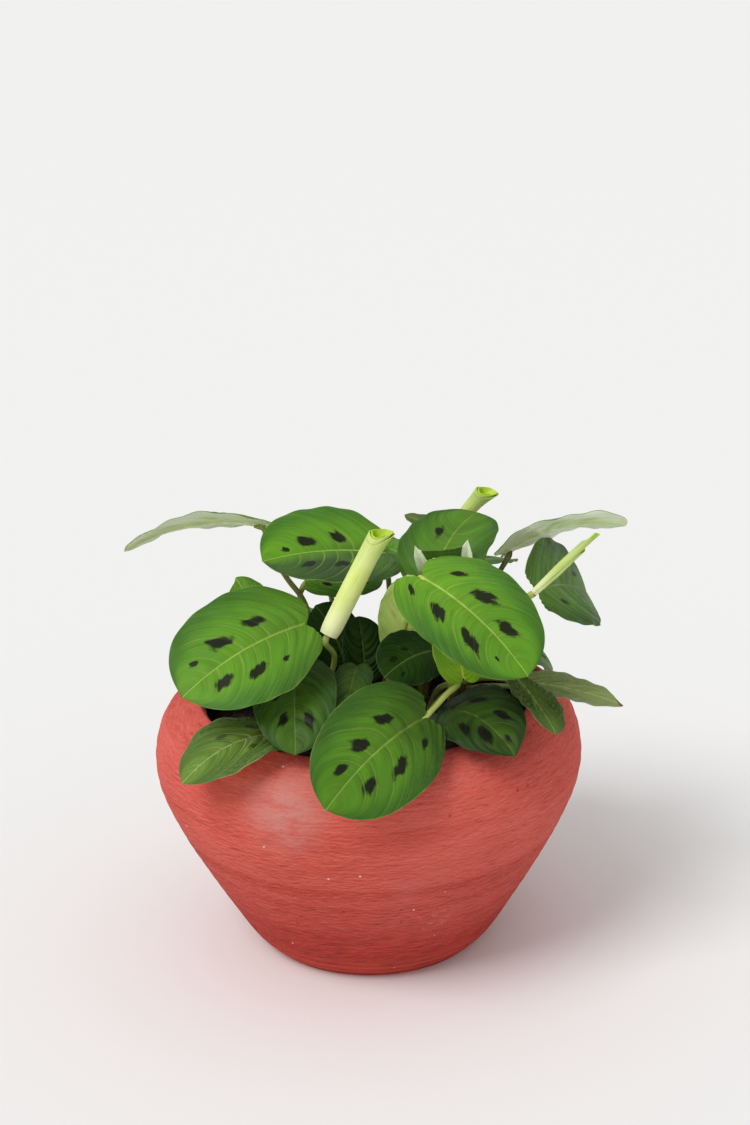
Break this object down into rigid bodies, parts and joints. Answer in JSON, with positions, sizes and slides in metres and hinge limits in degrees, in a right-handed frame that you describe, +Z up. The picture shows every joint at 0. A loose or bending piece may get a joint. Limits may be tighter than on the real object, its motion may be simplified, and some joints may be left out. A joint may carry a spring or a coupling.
{
  "type": "potted prayer plant",
  "caption": "Low prayer plant with broad oval blotched leaves and rolled new leaves, in a round clay pot that narrows to its foot.",
  "frame": {"origin": "centre of the pot's foot, on the surface that it stands on", "axes": "+Z up, -Y towards the side that the picture shows, +X to the right as seen from there"},
  "size_m": [0.3113, 0.3085, 0.29],
  "materials": {
    "clay": "matte",
    "soil": "matte",
    "stem": "satin",
    "leaf": "satin",
    "young_leaf": "satin"
  },
  "bodies": {
    "root": {"pot": "clay", "soil": "soil", "stem_left": "stem", "stem_front_left": "stem", "stem_front": "stem", "stem_front_right": "stem", "stem_right": "stem", "stem_middle": "stem", "stem_back_left": "stem", "stem_back": "stem", "stem_back_right": "stem", "leaf_high_left": "leaf", "leaf_upper_left": "leaf", "leaf_large_left": "leaf", "leaf_behind_left": "leaf", "leaf_low_left": "leaf", "leaf_rim_left": "leaf", "leaf_rim_front": "leaf", "leaf_large_right": "leaf", "leaf_upper_right": "leaf", "leaf_high_right": "leaf", "leaf_small_right": "leaf", "leaf_young": "young_leaf", "leaf_small_front": "leaf", "leaf_folded": "leaf", "leaf_shaded": "leaf", "leaf_upright": "leaf", "leaf_rim_right": "leaf", "leaf_drooping": "leaf", "leaf_side_right": "leaf", "leaf_narrow": "leaf", "leaf_middle_left": "leaf", "leaf_middle_back": "leaf", "leaf_upper_back": "leaf", "leaf_back_left": "leaf", "leaf_back": "leaf", "leaf_back_right": "leaf", "leaf_far_right": "leaf", "leaf_far_left": "leaf", "leaf_high_back_right": "leaf", "leaf_high_back_left": "leaf", "leaf_low_back_left": "leaf", "leaf_low_back": "leaf", "leaf_low_back_right": "leaf", "rolled_leaf_front": "young_leaf", "rolled_leaf_top": "young_leaf", "rolled_leaf_right": "young_leaf"}
  },
  "joints": []
}
